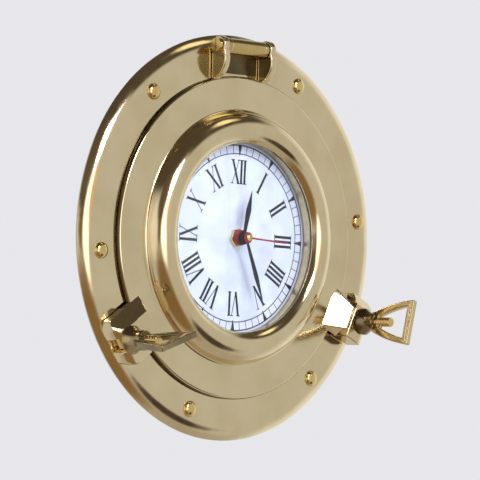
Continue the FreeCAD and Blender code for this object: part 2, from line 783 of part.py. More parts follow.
def make_hands():
    front = size("dial_seat_level") - size("washer_thick")
    make_hand("hour", "Sizes.hand_hub", HOUR_ANGLE, "Sizes.hour_tube_bore")
    make_hand("minute", "Sizes.hand_hub - 0.6", MINUTE_ANGLE, "Sizes.minute_tube_bore")
    make_hand("second", "Sizes.second_hub", SECOND_ANGLE, None)
    cap = rod("cap", "Sizes.cap_radius", "Sizes.cap_top - Sizes.second_level - Sizes.hand_thick",
              place(0, 0, size("second_level") + size("hand_thick")))
    finish(cap, "hand_cap")
    back = front - size("movement_depth")
    across = size("knob_out")
    up = size("knob_up")
    gap = size("knob_gap")
    stem = rod("knob_stem", "Sizes.knob_stem",
               "Sizes.movement_depth + Sizes.knob_gap - Sizes.minute_wheel_depth",
               place(across, up, back - gap))
    disc = rod("knob_disc", "Sizes.knob_radius", "Sizes.knob_thick",
               place(across, up, back - gap - size("knob_thick")))
    pinion = rod("knob_pinion", "Sizes.knob_pinion", "Sizes.wheel_thick",
                 place(across, up, front - size("minute_wheel_depth")))
    finish(join("knob_whole", stem, disc, pinion), "setting_knob")


make_flange()
make_rivets()
make_casing()
make_door()
make_hinge_pin()
make_glass()
for side in DOG_ANGLES:
    make_dog(side)
make_dial()
make_movement()
make_hands()
doc.recompute()

faults = [item.Name for item in doc.Objects
          if "Invalid" in item.State or "Error" in item.State]
if faults:
    raise RuntimeError("objects that failed: " + ", ".join(faults))
for item in subparts:
    if item.Shape.isNull() or not item.Shape.isValid():
        raise RuntimeError("bad shape: " + item.Label)

os.makedirs("parts", exist_ok=True)
for item in subparts:
    item.Shape.exportStep("parts/%s.step" % item.Label)
    print("%-24s %10.1f mm3  solids %d" % (item.Label, item.Shape.Volume, len(item.Shape.Solids)))
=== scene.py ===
import json
import math

import bmesh
import bpy
from mathutils import Matrix, Vector


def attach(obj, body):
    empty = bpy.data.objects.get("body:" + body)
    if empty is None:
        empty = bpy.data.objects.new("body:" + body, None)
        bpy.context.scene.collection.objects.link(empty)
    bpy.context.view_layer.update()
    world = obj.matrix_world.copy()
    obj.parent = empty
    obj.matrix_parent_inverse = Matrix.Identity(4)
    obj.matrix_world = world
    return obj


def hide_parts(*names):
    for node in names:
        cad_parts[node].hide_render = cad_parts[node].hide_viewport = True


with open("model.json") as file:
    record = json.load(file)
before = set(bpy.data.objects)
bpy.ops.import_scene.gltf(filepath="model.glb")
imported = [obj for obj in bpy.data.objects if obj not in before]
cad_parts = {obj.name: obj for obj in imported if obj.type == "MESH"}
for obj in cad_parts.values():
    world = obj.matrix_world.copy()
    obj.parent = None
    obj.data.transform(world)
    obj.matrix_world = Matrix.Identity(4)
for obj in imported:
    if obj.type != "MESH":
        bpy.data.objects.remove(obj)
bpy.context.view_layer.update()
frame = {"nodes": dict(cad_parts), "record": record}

NODES = frame["nodes"]
MM = 0.001
MERGE = 1e-7         # points closer than this become one, metres
DIAL_UP = -60.0      # height of the dial's centre in the row frame, mm
WALL_GAP = 22.0      # from the wall to the back of the flange, mm

# Sizes of the clock in mm, in the dial's own frame: x right, up, and out of the wall.
DIAL_LEVEL = 5.4     # the dial's face
DIAL_TURN = -1.8     # the paper dial sits slightly clockwise, degrees
TRACK_INNER = 47.6
TRACK_OUTER = 52.5
NUMERAL_FOOT = 30.5
NUMERAL_HEAD = 44.3
PRINT_UNDER = DIAL_LEVEL + 0.01      # the print's underside, just clear of the paper
PRINT_OVER = DIAL_LEVEL + 0.05
DOG_RADIUS = 106.0   # where the bolts stand, from the dial's axis, and at which angles
DOG_ANGLES = {"left": -146.7, "right": -25.8}


def at(x, up, out):
    """A point of the dial's own frame, in mm, as a point of the row frame in metres."""
    return Vector((x * MM, -(out + WALL_GAP) * MM, (up + DIAL_UP) * MM))


# ---- materials -------------------------------------------------------------------------

def new_material(name, colour, roughness, metallic=0.0):
    """A Principled material; returns the material, its nodes, its links and its shader."""
    material = bpy.data.materials.new(name)
    material.use_nodes = True
    nodes = material.node_tree.nodes
    shader = nodes["Principled BSDF"]
    shader.inputs["Base Color"].default_value = (*colour, 1)
    shader.inputs["Roughness"].default_value = roughness
    shader.inputs["Metallic"].default_value = metallic
    return material, nodes, material.node_tree.links, shader


def speckle(nodes, links, scale, detail, stretch=(1, 1, 1)):
    """Noise over the object's own coordinates; returns its factor output."""
    place = nodes.new("ShaderNodeTexCoord")
    mapping = nodes.new("ShaderNodeMapping")
    mapping.inputs["Scale"].default_value = stretch
    noise = nodes.new("ShaderNodeTexNoise")
    noise.inputs["Scale"].default_value = scale
    noise.inputs["Detail"].default_value = detail
    links.new(place.outputs["Object"], mapping.inputs["Vector"])
    links.new(mapping.outputs["Vector"], noise.inputs["Vector"])
    return noise.outputs["Fac"]


def between(nodes, links, factor, socket, low, high, start=0.35, end=0.65):
    """Drive a socket from low to high by a noise factor: numbers, or colours of three."""
    ramp = nodes.new("ShaderNodeValToRGB")
    ramp.color_ramp.elements[0].position = start
    ramp.color_ramp.elements[1].position = end
    low = low if isinstance(low, tuple) else (low, low, low)
    high = high if isinstance(high, tuple) else (high, high, high)
    ramp.color_ramp.elements[0].color = (*low, 1)
    ramp.color_ramp.elements[1].color = (*high, 1)
    links.new(factor, ramp.inputs["Fac"])
    links.new(ramp.outputs["Color"], socket)


def bump(nodes, links, shader, factor, strength, distance):
    """Make the surface uneven by a noise factor; the distance is in metres."""
    node = nodes.new("ShaderNodeBump")
    node.inputs["Strength"].default_value = strength
    node.inputs["Distance"].default_value = distance
    links.new(factor, node.inputs["Height"])
    links.new(node.outputs["Normal"], shader.inputs["Normal"])


def brass(name, light, dark, polish, dull):
    """Polished brass: patches of tarnish, fine wear and a slightly uneven surface."""
    material, nodes, links, shader = new_material(name, light, polish, metallic=1.0)
    patches = speckle(nodes, links, scale=38.0, detail=5.0)
    between(nodes, links, patches, shader.inputs["Base Color"], dark, light, start=0.30, end=0.62)
    wear = speckle(nodes, links, scale=160.0, detail=8.0, stretch=(1, 1, 0.25))
    between(nodes, links, wear, shader.inputs["Roughness"], polish, dull, start=0.40, end=0.85)
    waves = speckle(nodes, links, scale=55.0, detail=2.0)
    bump(nodes, links, shader, waves, strength=0.12, distance=0.0012)
    return material


GRAIN_SHADE = 0.86       # the colour of a plain finish's darkest grains, as a share
GRAIN_DULL = 1.25        # the roughness of its dullest grains, as a share


def plain(name, colour, roughness, grain, metallic=0.0):
    """An even finish with a little grain in its colour and gloss."""
    material, nodes, links, shader = new_material(name, colour, roughness, metallic)
    factor = speckle(nodes, links, scale=grain, detail=4.0)
    darker = tuple(channel * GRAIN_SHADE for channel in colour)
    duller = min(1.0, roughness * GRAIN_DULL)
    between(nodes, links, factor, shader.inputs["Base Color"], darker, colour)
    between(nodes, links, factor, shader.inputs["Roughness"], roughness, duller)
    return material


GLASS_TINT = (0.97, 0.985, 0.99)
GLASS_INDEX = 1.33       # under real glass's 1.5, so that it mirrors less


def clear_glass(name):
    """Clear glass that lets light rays through without a dark shadow."""
    material, nodes, links, shader = new_material(name, GLASS_TINT, 0.0)
    shader.inputs["Transmission Weight"].default_value = 1.0
    shader.inputs["IOR"].default_value = GLASS_INDEX
    output = nodes["Material Output"]
    path = nodes.new("ShaderNodeLightPath")
    through = nodes.new("ShaderNodeBsdfTransparent")
    mix = nodes.new("ShaderNodeMixShader")
    links.new(path.outputs["Is Shadow Ray"], mix.inputs["Fac"])
    links.new(shader.outputs["BSDF"], mix.inputs[1])
    links.new(through.outputs["BSDF"], mix.inputs[2])
    links.new(mix.outputs["Shader"], output.inputs["Surface"])
    return material


# Brass: the light and the dark tone, and the roughness where polished and where dull.
# Plain finishes: the colour, the roughness and how fine the grain is.
MATERIALS = {
    "cast_brass": brass("cast_brass", (0.86, 0.745, 0.50), (0.78, 0.655, 0.41), 0.10, 0.20),
    "bright_brass": brass("bright_brass", (0.88, 0.70, 0.33), (0.76, 0.56, 0.22), 0.10, 0.22),
    "barrel_brass": brass("barrel_brass", (0.70, 0.55, 0.24), (0.58, 0.43, 0.16), 0.14, 0.26),
    "aged_brass": brass("aged_brass", (0.46, 0.37, 0.22), (0.22, 0.17, 0.10), 0.14, 0.26),
    # painted shade: a near-black brass laid where the door's groove and the hollow under the hinge lie
    # in shade
    "painted_shade_brass": brass("painted_shade_brass", (0.20, 0.15, 0.08), (0.10, 0.075, 0.045), 0.22, 0.38),
    "sheet_brass": brass("sheet_brass", (0.72, 0.60, 0.36), (0.60, 0.47, 0.26), 0.28, 0.42),
    "steel": plain("steel", (0.56, 0.56, 0.58), 0.30, 300.0, metallic=1.0),
    "glass": clear_glass("glass"),
    "rubber": plain("rubber", (0.025, 0.025, 0.027), 0.80, 400.0),
    "dial_white": plain("dial_white", (0.66, 0.73, 0.96), 0.45, 90.0),
    "black_plastic": plain("black_plastic", (0.025, 0.025, 0.03), 0.45, 500.0),
    "battery_jacket": plain("battery_jacket", (0.06, 0.17, 0.42), 0.28, 120.0),
    "copper": plain("copper", (0.62, 0.26, 0.12), 0.30, 600.0, metallic=1.0),
    "board_green": plain("board_green", (0.03, 0.20, 0.07), 0.40, 250.0),
    "black_paint": plain("black_paint", (0.006, 0.007, 0.010), 0.75, 300.0),
    "red_paint": plain("red_paint", (0.27, 0.007, 0.028), 0.5, 300.0),
    "dial_ink": plain("dial_ink", (0.007, 0.008, 0.013), 0.85, 300.0),
}


# ---- meshes ----------------------------------------------------------------------------

def piece(name, body, material, shells, hides=(), smooth_below=35.0):
    """One object from closed shells given in dial mm; it rides on a body and takes a material."""
    work = bmesh.new()
    for points, faces in shells:
        made = [work.verts.new(at(*point)) for point in points]
        for corners in faces:
            work.faces.new([made[k] for k in corners])
    bmesh.ops.remove_doubles(work, verts=work.verts, dist=MERGE)
    bmesh.ops.recalc_face_normals(work, faces=work.faces)
    mesh = bpy.data.meshes.new(name)
    work.to_mesh(mesh)
    work.free()
    mesh.polygons.foreach_set("use_smooth", [True] * len(mesh.polygons))
    mesh.set_sharp_from_angle(angle=math.radians(smooth_below))
    mesh.materials.append(MATERIALS[material])
    item = bpy.data.objects.new(name, mesh)
    bpy.context.scene.collection.objects.link(item)
    normals = item.modifiers.new("normals", "WEIGHTED_NORMAL")
    normals.keep_sharp = True
    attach(item, body)
    if hides:
        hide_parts(*hides)


def moved(shell, *moves):
    """The shell with its points put through each move in turn."""
    points, faces = shell
    for move in moves:
        points = [move(*point) for point in points]
    return points, faces


def turn_by(angle):
    """A turn about the dial's axis of so many degrees, on points in dial mm."""
    c, s = math.cos(math.radians(angle)), math.sin(math.radians(angle))
    return lambda x, y, z: (c * x - s * y, s * x + c * y, z)


def shift_by(dx, dy, dz):
    """A shift by so many mm."""
    return lambda x, y, z: (x + dx, y + dy, z + dz)


def along_x(x, y, z):
    """Lays a shape drawn in the plane of up and out, and thickened across it, along x."""
    return z, x, y


def on_edge(x, y, z):
    """Swaps up and out, so that a shape drawn flat stands on its edge."""
    return x, z, y


def curve(start, end, radius, steps=12):
    """Points of an arc from start to end, without the last; it bulges to the right of the run,
    or to the left with a negative radius."""
    (x0, y0), (x1, y1) = start, end
    span = math.hypot(x1 - x0, y1 - y0)
    side = math.copysign(1.0, radius)
    depth = math.sqrt(radius ** 2 - (span / 2) ** 2)
    across = ((y1 - y0) / span * side, -(x1 - x0) / span * side)
    cx, cy = (x0 + x1) / 2 - across[0] * depth, (y0 + y1) / 2 - across[1] * depth
    first = math.atan2(y0 - cy, x0 - cx)
    last = math.atan2(y1 - cy, x1 - cx)
    sweep = (last - first + math.pi) % (2 * math.pi) - math.pi
    return [(cx + abs(radius) * math.cos(first + sweep * k / steps),
             cy + abs(radius) * math.sin(first + sweep * k / steps)) for k in range(steps)]


def spun(profile, steps):
    """The points of a run of (radius, level), turned about the dial's axis in even steps."""
    return [(r * math.cos(2 * math.pi * k / steps), r * math.sin(2 * math.pi * k / steps), level)
            for k in range(steps) for r, level in profile]


def lathe(profile, steps=192):
    """A closed ring swept about the dial's axis from a loop of (radius, level)."""
    count = len(profile)
    faces = [(k * count + i, (k + 1) % steps * count + i,
              (k + 1) % steps * count + (i + 1) % count, k * count + (i + 1) % count)
             for k in range(steps) for i in range(count)]
    return spun(profile, steps), faces


def button(profile, steps=48):
    """A solid of revolution from an open run of (radius, level) between two flat ends."""
    count = len(profile)
    faces = [(k * count + i, (k + 1) % steps * count + i,
              (k + 1) % steps * count + i + 1, k * count + i + 1)
             for k in range(steps) for i in range(count - 1)]
    faces.append(tuple(k * count for k in range(steps)))
    faces.append(tuple(k * count + count - 1 for k in range(steps)))
    return spun(profile, steps), faces


def thread(radius, depth, pitch, low, high, steps=36, per_turn=8):
    """A threaded rod along the dial's axis, with closed ends."""
    rows = int((high - low) / pitch * per_turn)
    points = []
    for row in range(rows + 1):
        level = low + (high - low) * row / rows
        for k in range(steps):
            phase = ((level - low) / pitch - k / steps) % 1.0
            edge = 0.0 if row in (0, rows) else abs(2 * phase - 1)
            r = radius - depth * (1 - edge)
            angle = 2 * math.pi * k / steps
            points.append((r * math.cos(angle), r * math.sin(angle), level))
    faces = [(row * steps + k, row * steps + (k + 1) % steps,
              (row + 1) * steps + (k + 1) % steps, (row + 1) * steps + k)
             for row in range(rows) for k in range(steps)]
    faces.append(tuple(range(steps)))
    faces.append(tuple(rows * steps + k for k in range(steps)))
    return points, faces


def prism(outline, low, high):
    """A flat outline thickened from one level to another, both in mm."""
    count = len(outline)
    points = [(x, y, level) for level in (low, high) for x, y in outline]
    faces = [tuple(range(count)), tuple(range(count, 2 * count))]
    faces += [(k, (k + 1) % count, count + (k + 1) % count, count + k) for k in range(count)]
    return points, faces


def softened(shell, width, sharper_than=30.0, segments=3):
    """The shell with its sharp edges rounded to a width in mm."""
    points, faces = shell
    work = bmesh.new()
    made = [work.verts.new(point) for point in points]
    for corners in faces:
        work.faces.new([made[k] for k in corners])
    bmesh.ops.recalc_face_normals(work, faces=work.faces)
    sharp = [edge for edge in work.edges
             if edge.calc_face_angle(0.0) > math.radians(sharper_than)]
    bmesh.ops.bevel(work, geom=sharp, offset=width, segments=segments, profile=0.5,
                    affect="EDGES", clamp_overlap=True)
    work.verts.index_update()
    points = [tuple(vert.co) for vert in work.verts]
    faces = [tuple(vert.index for vert in face.verts) for face in work.faces]
    work.free()
    return points, faces


# ---- printed dial ----------------------------------------------------------------------

HOOP_INNER_WIDTH = 0.55
HOOP_OUTER_WIDTH = 0.7
HOOP_STEPS = 240
MARK_HALF = 0.2          # half the width of a minute mark, and of a wedge's point
WEDGE_HALF = 1.5         # half the width of a five-minute wedge's broad end
WEDGE_IN = 1.0           # how far the wedge reaches in from the track
WEDGE_OUT = 0.2          # and out


def patch(corners, move):
    """A thin printed patch with the given flat corners."""
    return moved(prism(corners, PRINT_UNDER, PRINT_OVER), move)


def hoop(radius, width):
    """A printed circle."""
    low, high = radius - width / 2, radius + width / 2
    profile = [(low, PRINT_UNDER), (high, PRINT_UNDER), (high, PRINT_OVER), (low, PRINT_OVER)]
    return lathe(profile, HOOP_STEPS)


THICK = 1.55             # the numerals' thick stroke
THIN = 0.5               # their thin stroke, and the depth of their serifs
LETTER_WIDTH = {"I": 2.7, "V": 6.6, "X": 6.4}
SPREAD = {"V": 2.6, "X": 2.5}                    # from a letter's middle to its strokes' ends
THICK_SERIF = {"I": 1.45, "V": 1.5, "X": 1.4}    # half the length of a thick stroke's serif
THIN_SERIF = 1.2                                 # and of a thin stroke's


def stroke(x0, x1, width, low, high):
    """A stroke from (x0, low) to (x1, high)."""
    half = width / 2
    return [(x0 - half, low), (x0 + half, low), (x1 + half, high), (x1 - half, high)]


def serif(x, reach, y):
    """A serif about x, its edge at y: downwards from the top, upwards from the bottom."""
    depth = -THIN if y > 0 else THIN
    return [(x - reach, y), (x + reach, y), (x + reach, y + depth), (x - reach, y + depth)]


def glyph(letter, half):
    """The strokes of one letter, centred on x = 0, from half below to half above y = 0."""
    reach = THICK_SERIF[letter]
    if letter == "I":
        return [stroke(0, 0, THICK, -half, half), serif(0, reach, half), serif(0, reach, -half)]
    spread = SPREAD[letter]
    if letter == "V":
        return [stroke(0, -spread, THICK, -half, half), stroke(0, spread, THIN, -half, half),
                serif(-spread, reach, half), serif(spread, THIN_SERIF, half)]
    return [stroke(spread, -spread, THICK, -half, half), stroke(-spread, spread, THIN, -half, half),
            serif(-spread, reach, half), serif(spread, THIN_SERIF, half),
            serif(-spread, THIN_SERIF, -half), serif(spread, reach, -half)]


NUMERALS = ["XII", "I", "II", "III", "IIII", "V", "VI", "VII", "VIII", "IX", "X", "XI"]


def print_dial():
    """The dial's print: the minute track, its marks and wedges, and the numerals."""
    shells = [hoop(TRACK_INNER, HOOP_INNER_WIDTH), hoop(TRACK_OUTER, HOOP_OUTER_WIDTH)]
    for minute in range(60):
        spin = turn_by(90 - 6 * minute + DIAL_TURN)
        if minute % 5:
            inner, outer, broad = TRACK_INNER, TRACK_OUTER, MARK_HALF
        else:
            inner, outer, broad = TRACK_INNER - WEDGE_IN, TRACK_OUTER + WEDGE_OUT, WEDGE_HALF
        mark = [(inner, -MARK_HALF), (outer, -broad), (outer, broad), (inner, MARK_HALF)]
        shells.append(patch(mark, spin))
    half = (NUMERAL_HEAD - NUMERAL_FOOT) / 2
    centre = (NUMERAL_HEAD + NUMERAL_FOOT) / 2
    for hour, word in enumerate(NUMERALS):
        spin = turn_by(-30 * hour + DIAL_TURN)
        middle = -sum(LETTER_WIDTH[letter] for letter in word) / 2
        for letter in word:
            middle += LETTER_WIDTH[letter] / 2
            for corners in glyph(letter, half):
                shells.append(patch([(x + middle, y + centre) for x, y in corners], spin))
            middle += LETTER_WIDTH[letter] / 2
    piece("dial_print", "base", "dial_ink", shells)


# ---- glass, clock centre and fittings --------------------------------------------------

GLASS_RADIUS = 56.5
GLASS_THICK = 1.4
GLASS_CROWN = 18.6       # level of the dome's middle
GLASS_RIM = 13.3         # and of its rim
GLASS_ARC = 303.8        # radius of the dome's curve
GLASS_STEPS = 28
AXIS_HOLE = 0.02         # radius of the hole that the lathe leaves about the axis


def make_glass():
    """The domed glass: two parallel domes joined by a flat edge."""
    crown, rim = GLASS_CROWN - GLASS_THICK, GLASS_RIM - GLASS_THICK
    front = curve((AXIS_HOLE, GLASS_CROWN), (GLASS_RADIUS, GLASS_RIM), -GLASS_ARC, GLASS_STEPS)
    back = curve((GLASS_RADIUS, rim), (AXIS_HOLE, crown), GLASS_ARC, GLASS_STEPS)
    profile = front + [(GLASS_RADIUS, GLASS_RIM), (GLASS_RADIUS, rim)] + back[1:] + [(AXIS_HOLE, crown)]
    piece("glass_dome", "door", "glass", [lathe(profile, 160)], hides=("glass",), smooth_below=60)


def make_centre():
    """The hexagonal dial nut, the red collar on its bush and the cap of the second hand."""
    corner, twist, nut_top = 5.6, 12, 7.3     # the hexagon's corner radius, its turn, its front
    corners = [(corner * math.cos(math.radians(60 * k + twist)),
                corner * math.sin(math.radians(60 * k + twist))) for k in range(6)]
    nut = softened(prism(corners, DIAL_LEVEL, nut_top), 0.5)
    piece("hexagon_nut", "base", "bright_brass", [nut], hides=("dial_nut",))
    collar = [(2.65, nut_top), (4.2, nut_top), (4.45, 7.6), (4.45, 9.6), (4.0, 10.2), (2.65, 10.2)]
    piece("bush_collar", "base", "red_paint", [lathe(collar, 64)])
    cap = [(1.6, 14.9), (1.9, 15.1), (1.9, 16.3), (1.5, 16.6), (0.5, 16.75)]
    piece("cap_button", "second", "bright_brass", [button(cap)], hides=("hand_cap",))


RIVET_CIRCLE = 102.0
RIVET_ANGLES = [130.0, 61.7, 7.3, -51.5, -109.1, -174.2]


def make_rivets():
    """Domed rivet heads with a thin pressed rim."""
    radius, dome, foot = 4.5, 2.2, 5.6
    rim, lip, sunk = 0.25, 0.12, 0.1          # the rim's reach, its height, and its sunk part
    profile = [(radius + rim, foot - sunk), (radius + rim, foot + lip)]
    profile += [(radius * math.cos(math.radians(a)), foot + lip + dome * math.sin(math.radians(a)))
                for a in (0, 12, 24, 36, 48, 60, 72, 82)]
    profile.append((0.1, foot + lip + dome))
    shells = [moved(button(profile), shift_by(RIVET_CIRCLE, 0, 0), turn_by(angle))
              for angle in RIVET_ANGLES]
    piece("rivet_heads", "base", "bright_brass", shells, smooth_below=50)


HINGE_ACROSS = -2.0      # x of the middle of the hinge
HINGE_UP = 107.3         # where the hinge's axis is above the dial's centre
HINGE_LEVEL = 11.4


def make_barrel():
    """The hinge barrel between the ears, ringed near its ends, over a pedestal and a thin pad painted
    dark as the shade under the barrel.
    """
    half, radius, bore, edge = 15.5, 4.6, 1.7, 0.5
    inset, groove = 2.6, 0.5                  # the rings' distance from the ends, their depth
    profile = [(radius - edge, -half), (radius, -half + edge)]
    for ring in (inset - half, half - inset):
        profile += [(radius, ring - 0.45), (radius - groove, ring - 0.25),
                    (radius - groove, ring + 0.25), (radius, ring + 0.45)]
    profile += [(radius, half - edge), (radius - edge, half), (bore, half), (bore, -half)]
    piece("hinge_barrel", "base", "barrel_brass",
          [moved(lathe(profile, 64), along_x, shift_by(HINGE_ACROSS, HINGE_UP, HINGE_LEVEL))])
    # painted shade: the pedestal block and the thin pad on the door ring are dark brass standing for
    # the shade under the barrel
    block_side = [(HINGE_UP - 3.9, 5.65), (HINGE_UP + 3.9, 5.65), (HINGE_UP + 4.1, 10.4),
                  (HINGE_UP - 4.1, 10.4)]
    shade_pad_side = [(92.6, 5.5), (HINGE_UP - 3.5, 5.5), (HINGE_UP - 3.5, 5.85), (92.8, 5.85)]
    shells = [softened(prism(block_side, -12.6, 12.6), 0.6), prism(shade_pad_side, -15.2, 15.2)]
    piece("hinge_pedestal_shade", "base", "painted_shade_brass",
          [moved(shell, along_x, shift_by(HINGE_ACROSS, 0, 0)) for shell in shells])


# ---- door ------------------------------------------------------------------------------

DOOR_PROFILE = (
    [(56.8, 6.2), (91.2, 6.2), (91.4, 6.5)]
    + curve((91.4, 7.0), (89.8, 8.6), 1.9, 6)
    + [(89.8, 8.6), (73.4, 8.6)]
    + curve((73.4, 8.6), (71.4, 9.7), -2.4, 6)
    + curve((71.4, 9.7), (61.0, 18.4), 11.1, 20)
    + curve((61.0, 18.4), (53.9, 14.8), 8.9, 16)
    + [(53.9, 14.8), (53.5, 14.4), (53.5, 13.9), (56.8, 13.9)])

# Painted shade: a thin dark skin over the lower part of the door's outer edge, for the shade in the
# groove where the door meets the flange.
EDGE_SHADE_PROFILE = (
    [(90.0, 6.25), (91.45, 6.25)]
    + curve((91.45, 7.0), (91.0, 7.98), 1.95, 6)
    + [(91.0, 7.98), (90.0, 7.6)])
LATHE_FINE = 256         # steps round the door

EAR_STARTS = [-22.5, 14.2]
EAR_THICK = 4.3
EAR_EYE = 5.4            # radius about the hinge's axis
EAR_ROUND = 12.0         # radius of the broad round below it, and its centre
EAR_ROUND_UP = 100.2
EAR_ROUND_LEVEL = 5.2
EAR_STEPS = 14
DOOR_BACK = 6.2


def ear_outline():
    """The ear's side view as (up, level): a broad round with an eye about the pin."""
    far = math.hypot(HINGE_UP - EAR_ROUND_UP, HINGE_LEVEL - EAR_ROUND_LEVEL)
    toward = math.atan2(HINGE_LEVEL - EAR_ROUND_LEVEL, HINGE_UP - EAR_ROUND_UP)
    along = (far ** 2 + EAR_ROUND ** 2 - EAR_EYE ** 2) / (2 * far)
    meet = toward + math.acos(along / EAR_ROUND)
    foot = math.pi - math.asin((DOOR_BACK - EAR_ROUND_LEVEL) / EAR_ROUND)
    joint = (EAR_ROUND_UP + EAR_ROUND * math.cos(meet), EAR_ROUND_LEVEL + EAR_ROUND * math.sin(meet))
    points = [(EAR_ROUND_UP + EAR_ROUND * math.cos(foot + (meet - foot) * k / EAR_STEPS),
               EAR_ROUND_LEVEL + EAR_ROUND * math.sin(foot + (meet - foot) * k / EAR_STEPS))
              for k in range(EAR_STEPS)]
    start = math.atan2(joint[1] - HINGE_LEVEL, joint[0] - HINGE_UP)
    end = math.asin((DOOR_BACK - HINGE_LEVEL) / EAR_EYE)
    points += [(HINGE_UP + EAR_EYE * math.cos(start + (end - start) * k / EAR_STEPS),
                HINGE_LEVEL + EAR_EYE * math.sin(start + (end - start) * k / EAR_STEPS))
               for k in range(EAR_STEPS + 1)]
    return points


def loft(slices):
    """A solid through outlines that all have the same number of points."""
    count = len(slices[0])
    points = [point for outline in slices for point in outline]
    last = (len(slices) - 1) * count
    faces = [tuple(range(count)), tuple(range(last, last + count))]
    faces += [(row * count + k, row * count + (k + 1) % count,
               (row + 1) * count + (k + 1) % count, (row + 1) * count + k)
              for row in range(len(slices) - 1) for k in range(count)]
    return points, faces


PIN_LEVEL = 10.0         # the bolt's pin
FORK_LEVEL = 17.2        # the lug's front face
FORK_UNDER = 6.4         # its back face
FORK_INNER = 96.5        # its inner end, from the dial's axis
FORK_NOSE = 7.2          # radius of its outer end about the pin
FORK_HALF = 14.0         # half its width
FORK_CORNER = 17.5       # radius of its blunt corners in plan, and the centre of that radius
FORK_CORNER_CENTRE = 99.0
FORK_RIDGE = 7.0         # where the upper prong's flank starts, from the lug's middle
FORK_SHOULDER = 11.4     # the flank's level at the lug's side
FORK_STEPS = 7           # slices across a prong
NOSE_STEPS = 8
LUG_EDGE = 0.7           # rounding of the lug's edges
UPPER = {"left": -1, "right": 1}     # which side of each lug is uppermost
SLOT_HALF = 4.2
SLOT_START = 99.4
BRIDGE_LAP = 1.3         # how far the bridge reaches into each prong


def prong_slice(t, upper):
    """The lug's outline at a distance t from its middle; the upper prong has a sloping flank."""
    reach = FORK_CORNER_CENTRE + math.sqrt(FORK_CORNER ** 2 - t ** 2)
    top = FORK_LEVEL
    if upper:
        slope = (FORK_LEVEL - FORK_SHOULDER) / (FORK_HALF - FORK_RIDGE)
        top -= max(0.0, abs(t) - FORK_RIDGE) * slope
    points = [(FORK_INNER, t, FORK_UNDER), (min(reach, DOG_RADIUS + FORK_NOSE), t, FORK_UNDER)]
    for k in range(NOSE_STEPS + 1):
        angle = math.radians(90 * k / NOSE_STEPS)
        points.append((min(reach, DOG_RADIUS + FORK_NOSE * math.cos(angle)), t,
                       min(top, PIN_LEVEL + FORK_NOSE * math.sin(angle))))
    points.append((FORK_INNER, t, top))
    return points


# The stems' foot and top outlines as (radius, t); the right one is cast lopsided.
STEM_FOOT = {"left": [(81.5, -14.2), (97.6, -14.2), (97.6, 14.2), (82.5, 14.2), (81.5, 13.2)],
             "right": [(81.5, -14.2), (97.6, -14.2), (97.6, 13.0), (83.5, 12.0), (81.5, 4.5)]}
STEM_TOP = {"left": [(88.2, -7.2), (97.6, -7.2), (97.6, 7.2), (88.8, 7.2), (88.2, 6.6)],
            "right": [(95.3, -10.0), (97.6, -10.0), (97.6, 4.2), (96.0, 4.2), (95.3, 3.6)]}
STEM_FOOT_LEVEL = 7.5
STEM_TOP_LEVEL = 16.8


def lug_shells(side):
    """The slotted lug: two prongs, the bridge between them and the stem, drawn along x."""
    rows = [SLOT_HALF + (FORK_HALF - SLOT_HALF) * k / FORK_STEPS for k in range(FORK_STEPS + 1)]
    shells = []
    for sign in (-1, 1):
        slices = [prong_slice(sign * t, sign == UPPER[side]) for t in rows]
        shells.append(softened(loft(slices), LUG_EDGE, sharper_than=34.0))
    bridge_top = FORK_LEVEL - 0.01
    bridge = [(FORK_INNER, FORK_UNDER), (SLOT_START, FORK_UNDER),
              (SLOT_START, bridge_top), (FORK_INNER, bridge_top)]
    half = SLOT_HALF + BRIDGE_LAP
    shells.append(softened(moved(prism(bridge, -half, half), on_edge), LUG_EDGE))
    foot = [(reach, t, STEM_FOOT_LEVEL) for reach, t in STEM_FOOT[side]]
    top = [(reach, t, STEM_TOP_LEVEL) for reach, t in STEM_TOP[side]]
    shells.append(softened(loft([foot, top]), 0.8, sharper_than=20.0, segments=4))
    return shells


def make_door():
    """The door casting with its raised ring, two hinge ears and two lugs, and the painted shade along
    its edge.
    """
    shells = [lathe(DOOR_PROFILE, LATHE_FINE)]
    for start in EAR_STARTS:
        ear = softened(prism(ear_outline(), 0.0, EAR_THICK), 0.8, sharper_than=40.0)
        shells.append(moved(ear, along_x, shift_by(start, 0, 0)))
    for side, angle in DOG_ANGLES.items():
        shells += [moved(shell, turn_by(angle)) for shell in lug_shells(side)]
    piece("door_casting", "door", "cast_brass", shells, hides=("door",), smooth_below=32)
    # painted shade along the door's edge, in the groove beside the flange
    piece("door_edge_shade", "door", "painted_shade_brass", [lathe(EDGE_SHADE_PROFILE, LATHE_FINE)])


# ---- dogs ------------------------------------------------------------------------------

LOOP_TURN = {"left": 198.0, "right": 76.5}                      # degrees
LOOP_FINISH = {"left": "aged_brass", "right": "cast_brass"}     # the left one is tarnished
LOOP_HALF = 1.9          # half the loop's thickness
LOOP_BOW = 90.0          # radius of its bowed arms
NUT_LEVEL = 17.3         # the nut's foot


def bowed(foot, shoulder):
    """The loop's outline with two bowed arms; foot and shoulder are those of the right arm."""
    (x0, y0), (x1, y1) = foot, shoulder
    return (curve((x0, y0), (x1, y1), LOOP_BOW, 8) + [(x1, y1), (-x1, y1)]
            + curve((-x1, y1), (-x0, y0), LOOP_BOW, 8)[1:] + [(-x0, y0)])


def loop_frame():
    """The nut's triangular loop with gently bowed arms, rounded all over."""
    outer = bowed((5.3, 24.0), (13.4, 55.2))
    inner = bowed((2.9, 30.2), (9.4, 50.6))
    count = len(outer)
    points = [(x, y, z) for z in (-LOOP_HALF, LOOP_HALF) for x, y in outer + inner]
    faces = []
    for k in range(count):
        n = (k + 1) % count
        faces.append((k, n, count + n, count + k))
        faces.append((2 * count + k, 2 * count + n, 3 * count + n, 3 * count + k))
        faces.append((k, n, 2 * count + n, 2 * count + k))
        faces.append((count + k, count + n, 3 * count + n, 3 * count + k))
    return moved(softened((points, faces), 1.0, sharper_than=40.0), on_edge)


